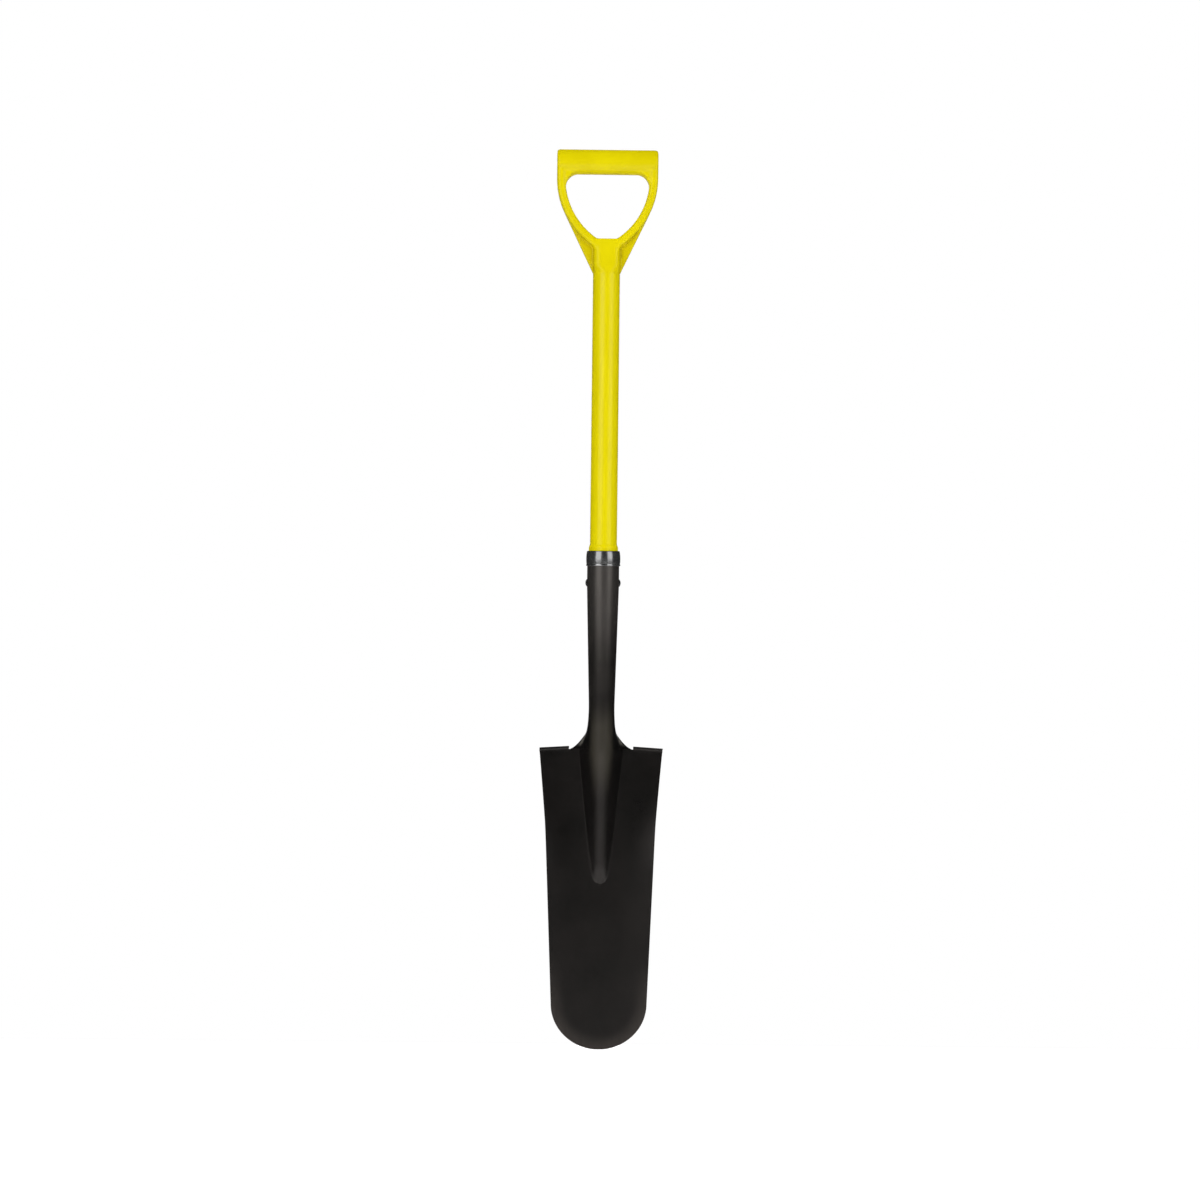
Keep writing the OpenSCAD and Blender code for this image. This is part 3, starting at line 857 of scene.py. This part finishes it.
def mark_painted_shade(grip):
    """Stores how much painted shade each point gets in the corners beside the webs, more the
    deeper it lies.
    """
    marks = []
    for vertex in grip.data.vertices:
        x, y, z = abs(vertex.co.x), abs(vertex.co.y), vertex.co.z
        from_arm = hypot(x - arm_x, z - arm_z) - arm_outer
        beside_arm = 1 - ease(from_arm / painted_shade_reach)
        beside_neck = 1 - ease((x - neck_side) / painted_shade_reach)
        below_arm = ease((painted_shade_top - z) / painted_shade_reach)
        sunk = ease((arm_d / 2 - y) / ((arm_d - web_t) / 2))
        outside = ease(from_arm / painted_shade_edge + 1) * ease((x - neck_side) / painted_shade_edge + 1)
        corner = max(painted_shade_least, beside_arm, beside_neck)
        marks.append(corner * below_arm * sunk * outside)
    hollow = grip.data.attributes.new("hollow", "FLOAT", "POINT")
    hollow.data.foreach_set("value", marks)


# Finishes

class Wire:
    """An output socket of a material's nodes that takes part in expressions."""

    def __init__(self, tree, socket=None):
        self.tree = tree
        self.socket = socket

    def node(self, kind, settings=None, sockets=None, output=0):
        """Adds a node, sets its settings, then its sockets' values or links."""
        made = self.tree.nodes.new("ShaderNode" + kind)
        for name, value in (settings or {}).items():
            setattr(made, name, value)
        for name, value in (sockets or {}).items():
            if isinstance(value, Wire):
                self.tree.links.new(value.socket, made.inputs[name])
            else:
                made.inputs[name].default_value = value
        return Wire(self.tree, made.outputs[output] if made.outputs else None)

    def math(self, operation, first, second):
        return self.node("Math", {"operation": operation}, {0: first, 1: second})

    def __add__(self, other):
        return self.math("ADD", self, other)

    def __radd__(self, other):
        return self.math("ADD", other, self)

    def __sub__(self, other):
        return self.math("SUBTRACT", self, other)

    def __rsub__(self, other):
        return self.math("SUBTRACT", other, self)

    def __mul__(self, other):
        return self.math("MULTIPLY", self, other)

    def __rmul__(self, other):
        return self.math("MULTIPLY", other, self)

    def ramp(self, low, high):
        """Smooth run from 0 at low to 1 at high."""
        sockets = {"Value": self, "From Min": low, "From Max": high}
        return self.node("MapRange", {"interpolation_type": "SMOOTHSTEP"}, sockets)

    def tint(self, first, second):
        """Colour between two, by this value. The numbers are the node's colour sockets."""
        return self.node("Mix", {"data_type": "RGBA"}, {0: self, 6: first, 7: second}, output=2)


class Finish:
    """A material under construction: its nodes, its places and its closing shader."""

    def __init__(self, name):
        self.material = bpy.data.materials.new(name)
        self.material.use_nodes = True
        tree = self.material.node_tree
        tree.nodes.clear()
        self.wire = Wire(tree)
        self.place = self.wire.node("TexCoord", output="Object")

    def axis(self, letter):
        return self.wire.node("SeparateXYZ", sockets={"Vector": self.place}, output=letter)

    def stretched(self, scale):
        return self.wire.node("Mapping", sockets={"Vector": self.place, "Scale": scale})

    def noise(self, scale, detail=2.0, roughness=0.5, place=None):
        sockets = {
            "Vector": place or self.place,
            "Scale": scale,
            "Detail": detail,
            "Roughness": roughness,
        }
        return self.wire.node("TexNoise", sockets=sockets)

    def attribute(self, name):
        return self.wire.node("Attribute", {"attribute_name": name}, output="Fac")

    def bump(self, height, strength, distance):
        sockets = {"Height": height, "Strength": strength, "Distance": distance}
        return self.wire.node("Bump", sockets=sockets)

    def close(self, **sockets):
        named = {name.replace("_", " "): value for name, value in sockets.items()}
        shader = self.wire.node("BsdfPrincipled", sockets=named)
        self.wire.node("OutputMaterial", sockets={"Surface": shader})
        return self.material


def black_coating():
    """Satin black coating, thin up the socket, rubbed round the toe, painted highlights on neck
    and flares.
    """
    finish = Finish("black_coating")
    z = finish.axis("Z")
    cloud = finish.noise(14.0, 3.0)
    grain = finish.noise(900.0, 2.0, 0.6)
    drawn = finish.noise(1.0, 3.0, 0.6, finish.stretched((260.0, 260.0, 9.0)))
    socket = (z + (cloud - 0.5) * 0.05).ramp(0.425, 0.635)
    rim = finish.attribute("rim")
    speck = finish.noise(300.0, 2.0).ramp(0.4, 0.6)
    rub = 1.0 - (rim + (cloud - 0.5) * 0.012).ramp(0.0, 0.022)
    toe = 1.0 - z.ramp(0.02, 0.14)
    deep_black = (0.0022, 0.0021, 0.0020, 1)
    soft_black = (0.0046, 0.0038, 0.0036, 1)
    rubbed_black = (0.034, 0.0290, 0.0262, 1)
    blacks = cloud.ramp(0.3, 0.7).tint(deep_black, soft_black)
    worn = (rub * toe * (0.6 + drawn * 0.6)).tint(blacks, rubbed_black)
    # Painted highlight: a pale beige sheen painted on the front of the throat and the ridge's
    # upper end
    front = 1.0 - finish.axis("Y").ramp(-0.0155, -0.004)
    throat_sheen = z.ramp(0.330, 0.395) * (1.0 - z.ramp(0.430, 0.480)) * front
    painted_sheen = (0.034, 0.0305, 0.024, 1)
    sheened = (throat_sheen * (0.75 + cloud * 0.5)).tint(worn, painted_sheen)
    # Painted glints: a pale band painted just inside the flares' free edges beside the neck;
    # ground is the colour that carries them
    lip = rim.ramp(0.0015, 0.004) * (1.0 - rim.ramp(0.006, 0.012))
    flare = z.ramp(0.407, 0.415) * (1.0 - z.ramp(0.420, 0.430))
    painted_glint = (0.135, 0.126, 0.110, 1)
    ground = (lip * flare * (0.4 + speck * 0.8)).tint(sheened, painted_glint)
    dark_bare = (0.126, 0.115, 0.106, 1)
    pale_bare = (0.168, 0.155, 0.144, 1)
    bared = (0.6 + drawn * 0.5).ramp(0.5, 1.1).tint(dark_bare, pale_bare)
    colour = socket.tint(ground, bared)
    metal = z.ramp(0.420, 0.530) * 0.85
    roughness = 0.30 + socket * 0.05 + (cloud - 0.5) * 0.10 + (grain - 0.5) * 0.06
    normal = finish.bump(grain + drawn * 0.4, 0.25, 0.00008)
    return finish.close(
        Base_Color=colour,
        Metallic=metal,
        Roughness=roughness,
        Normal=normal,
        Specular_Tint=(1.0, 0.93, 0.89, 1),
    )


def bright_plating():
    """Bright plated steel with fine turning lines and faint clouds."""
    finish = Finish("bright_plating")
    lines = finish.noise(1.0, 3.0, 0.6, finish.stretched((30.0, 30.0, 4200.0)))
    cloud = finish.noise(120.0, 3.0)
    colour = cloud.ramp(0.3, 0.7).tint((0.37, 0.37, 0.37, 1), (0.47, 0.47, 0.47, 1))
    roughness = 0.20 + (lines - 0.5) * 0.08 + (cloud - 0.5) * 0.08
    normal = finish.bump(lines, 0.12, 0.00004)
    return finish.close(Base_Color=colour, Metallic=0.95, Roughness=roughness, Normal=normal)


def rivet_black():
    """Dark rivet with small hammer marks."""
    finish = Finish("rivet_black")
    dents = finish.noise(420.0, 2.0)
    fine = finish.noise(2400.0, 2.0)
    colour = dents.ramp(0.35, 0.7).tint((0.009, 0.009, 0.010, 1), (0.022, 0.021, 0.020, 1))
    roughness = 0.38 + (fine - 0.5) * 0.2
    normal = finish.bump(dents + fine * 0.2, 0.35, 0.0002)
    return finish.close(Base_Color=colour, Roughness=roughness, Normal=normal)


def moulded_yellow():
    """Satin moulded polymer with a fine leathery skin, faint flow clouds and painted shade beside
    the webs.
    """
    finish = Finish("moulded_yellow")
    skin = finish.noise(1300.0, 2.0, 0.55)
    flow = finish.noise(22.0, 4.0, 0.6)
    scuffs = finish.noise(1.0, 2.0, 0.7, finish.stretched((90.0, 420.0, 420.0)))
    open_skin = flow.ramp(0.3, 0.7).tint((0.765, 0.640, 0.0008, 1), (0.832, 0.706, 0.0015, 1))
    # Painted shade: the stored 'hollow' mark darkens the skin in the corners beside the webs
    shaded_skin = (0.640, 0.518, 0.0008, 1)
    hollow = finish.attribute("hollow")
    colour = (hollow * (0.8 + flow * 0.4)).tint(open_skin, shaded_skin)
    rubbed = scuffs.ramp(0.62, 0.80)
    roughness = 0.26 + (skin - 0.5) * 0.06 - rubbed * 0.05
    normal = finish.bump(skin, 0.07, 0.00012)
    return finish.close(
        Base_Color=colour, Roughness=roughness, Normal=normal, Specular_IOR_Level=0.22
    )


def fibreglass_yellow():
    """Drawn fibreglass: fine fibres lie along the shaft under a smooth resin skin."""
    finish = Finish("fibreglass_yellow")
    fibres = finish.noise(1.0, 3.0, 0.6, finish.stretched((700.0, 700.0, 7.0)))
    waves = finish.noise(1.0, 2.0, 0.5, finish.stretched((60.0, 60.0, 14.0)))
    skin = finish.noise(1500.0, 2.0)
    colour = (fibres * 0.6 + waves * 0.4).ramp(0.3, 0.7).tint(
        (0.775, 0.655, 0.0008, 1), (0.845, 0.722, 0.0015, 1)
    )
    roughness = 0.24 + (waves - 0.5) * 0.08 + (skin - 0.5) * 0.05
    normal = finish.bump(fibres * 0.5 + skin * 0.3, 0.10, 0.00008)
    return finish.close(
        Base_Color=colour, Roughness=roughness, Normal=normal, Specular_IOR_Level=0.35
    )


def dowel_wood():
    """Pale hardwood with rings across and grain along the dowel."""
    finish = Finish("dowel_wood")
    bent = finish.noise(40.0, 3.0)
    rings = finish.wire.node(
        "TexWave",
        {"wave_type": "RINGS", "rings_direction": "Z"},
        {"Vector": finish.stretched((1.0, 1.0, 0.05)), "Scale": 90.0, "Distortion": 3.0},
        output="Fac",
    )
    grain = finish.noise(1.0, 3.0, 0.6, finish.stretched((900.0, 900.0, 20.0)))
    colour = (rings * 0.6 + grain * 0.4).tint((0.38, 0.24, 0.12, 1), (0.60, 0.43, 0.25, 1))
    normal = finish.bump(grain, 0.3, 0.0002)
    return finish.close(Base_Color=colour, Roughness=0.62 + (bent - 0.5) * 0.2, Normal=normal)


def spring_steel():
    """Rolled spring steel, dulled by handling."""
    finish = Finish("spring_steel")
    lines = finish.noise(1.0, 2.0, 0.6, finish.stretched((4000.0, 300.0, 300.0)))
    cloud = finish.noise(600.0, 3.0)
    colour = cloud.tint((0.30, 0.29, 0.28, 1), (0.50, 0.49, 0.48, 1))
    roughness = 0.36 + (lines - 0.5) * 0.2
    normal = finish.bump(lines, 0.2, 0.00004)
    return finish.close(Base_Color=colour, Metallic=1.0, Roughness=roughness, Normal=normal)


def coat(piece, material):
    """Gives a piece one material."""
    piece.data.materials.clear()
    piece.data.materials.append(material)


soft_edges = radians(40)
moulded_edges = radians(80)
blade = finish_piece(press_blade(), "blade", soft_edges)
collar = finish_piece(turn_collar(), "socket_collar", soft_edges)
rivet = finish_piece(turn_rivet(), "socket_rivet", soft_edges)
sleeve = finish_piece(turn_sleeve(), "socket_sleeve", soft_edges)
shaft = finish_piece(turn_shaft(), "shaft_tube", soft_edges)
grip = finish_piece(mould_grip(), "d_grip", moulded_edges)

yellow_skin = moulded_yellow()
coat(blade, black_coating())
coat(collar, bright_plating())
coat(rivet, rivet_black())
coat(sleeve, yellow_skin)
coat(shaft, fibreglass_yellow())
coat(grip, yellow_skin)
coat(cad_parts["shaft_core"], dowel_wood())
coat(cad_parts["grip_pin"], spring_steel())


# Studio

camera_distance = 8.0
frame_width = 1.622
view_azimuth = radians(-1.5)
view_roll = radians(0.646)
aim = Vector((-0.0038, 0, 0.6065))
room_fill = 0.06
room_mirror = 0.02
back_wall = 0.9
back_floor = 0.30
floor_glow = 0.8
floor_shine = 0.28
floor_half = 1.1
floor_front = -3.5
floor_back = 0.06
softbox_distance = 1.9
softbox_height = 1.29
softbox_tall = 1.42


def add_camera():
    """Camera in front of the spade, turned and rolled a little as in the photo."""
    data = bpy.data.cameras.new("front_camera")
    data.sensor_width = 36
    data.lens = data.sensor_width * camera_distance / frame_width
    camera = bpy.data.objects.new("front_camera", data)
    bpy.context.scene.collection.objects.link(camera)
    turn = Matrix.Rotation(view_azimuth, 4, "Z") @ Matrix.Rotation(pi / 2, 4, "X")
    roll = Matrix.Rotation(view_roll, 4, "Z")
    back = Matrix.Translation((0, 0, camera_distance))
    camera.matrix_world = Matrix.Translation(aim) @ turn @ roll @ back
    bpy.context.scene.camera = camera


def add_softbox(name, azimuth, width, power):
    """Tall soft light at an angle from the camera's axis, facing the shaft."""
    data = bpy.data.lights.new(name, "AREA")
    data.shape = "RECTANGLE"
    data.size = width
    data.size_y = softbox_tall
    data.energy = power
    light = bpy.data.objects.new(name, data)
    bpy.context.scene.collection.objects.link(light)
    turn = Matrix.Rotation(azimuth, 4, "Z") @ Matrix.Rotation(pi / 2, 4, "X")
    back = Matrix.Translation((0, 0, softbox_distance))
    light.matrix_world = Matrix.Translation((0, 0, softbox_height)) @ turn @ back


def add_fill(name, way, spread, strength):
    """Wide soft light from one side, without highlights of its own."""
    data = bpy.data.lights.new(name, "SUN")
    data.angle = spread
    data.energy = strength
    data.cycles.use_multiple_importance_sampling = False
    light = bpy.data.objects.new(name, data)
    light.matrix_world = Vector(way).to_track_quat("Z", "Y").to_matrix().to_4x4()
    light.visible_glossy = False
    bpy.context.scene.collection.objects.link(light)


def mirrored_rays(wire):
    """Whether a ray comes from a highlight or a mirror image."""
    glossy = wire.node("LightPath", output="Is Glossy Ray")
    return glossy + wire.node("LightPath", output="Is Transmission Ray")


def add_world():
    """White to the eye, with a white backdrop behind the object and a dim room before it."""
    world = bpy.data.worlds.new("white_studio")
    world.use_nodes = True
    world.cycles.sampling_method = "NONE"
    bpy.context.scene.world = world
    tree = world.node_tree
    tree.nodes.clear()
    wire = Wire(tree)
    eye = wire.node("LightPath", output="Is Camera Ray")
    mirrored = mirrored_rays(wire)
    way = wire.node("TexCoord", output="Generated")
    back = wire.node("SeparateXYZ", sockets={"Vector": way}, output="Y")
    down = 0.0 - wire.node("SeparateXYZ", sockets={"Vector": way}, output="Z")
    wall = back.ramp(0.93, 1.0) * back_wall
    ground = down.ramp(0.12, 0.40) * back.ramp(0.1, 0.5) * back_floor
    room = mirrored * (wall + ground + room_mirror) + (1.0 - mirrored) * room_fill
    strength = eye + (1.0 - eye) * room
    shader = wire.node("Background", sockets={"Color": (1, 1, 1, 1), "Strength": strength})
    wire.node("OutputWorld", sockets={"Surface": shader})


def add_floor():
    """Pale ground in front of the spade, white to the eye and dim in its highlights."""
    sheet = bpy.ops.mesh.primitive_plane_add
    middle = (0, (floor_front + floor_back) / 2, 0)
    floor = add(sheet, "studio_floor", size=2, location=middle)
    reach = (floor_half, (floor_back - floor_front) / 2, 1)
    bpy.ops.transform.resize(value=reach, center_override=middle)
    bpy.ops.object.mode_set(mode="OBJECT")
    material = bpy.data.materials.new("pale_floor")
    material.use_nodes = True
    tree = material.node_tree
    tree.nodes.clear()
    wire = Wire(tree)
    matt = wire.node("BsdfDiffuse", sockets={"Color": (0.8, 0.8, 0.8, 1)})
    eye = wire.node("LightPath", output="Is Camera Ray")
    strength = eye * floor_glow + mirrored_rays(wire) * floor_shine
    glow = wire.node("Emission", sockets={"Color": (1, 1, 1, 1), "Strength": strength})
    both = wire.node("AddShader", sockets={0: matt, 1: glow})
    wire.node("OutputMaterial", sockets={"Surface": both})
    coat(floor, material)
    floor.visible_shadow = False


add_camera()
add_softbox("left_softbox", azimuth=radians(-34.5), width=1.27, power=8)
add_softbox("right_softbox", azimuth=radians(45), width=1.16, power=6)
add_fill("front_fill", way=(0, -1, 0.28), spread=radians(170), strength=1.7)
add_fill("top_fill", way=(0, 0.6, 1), spread=radians(170), strength=0.7)
add_fill("back_fill", way=(0, 1, 0.35), spread=radians(100), strength=1.7)
add_world()
add_floor()
bpy.context.scene.view_settings.view_transform = "Standard"
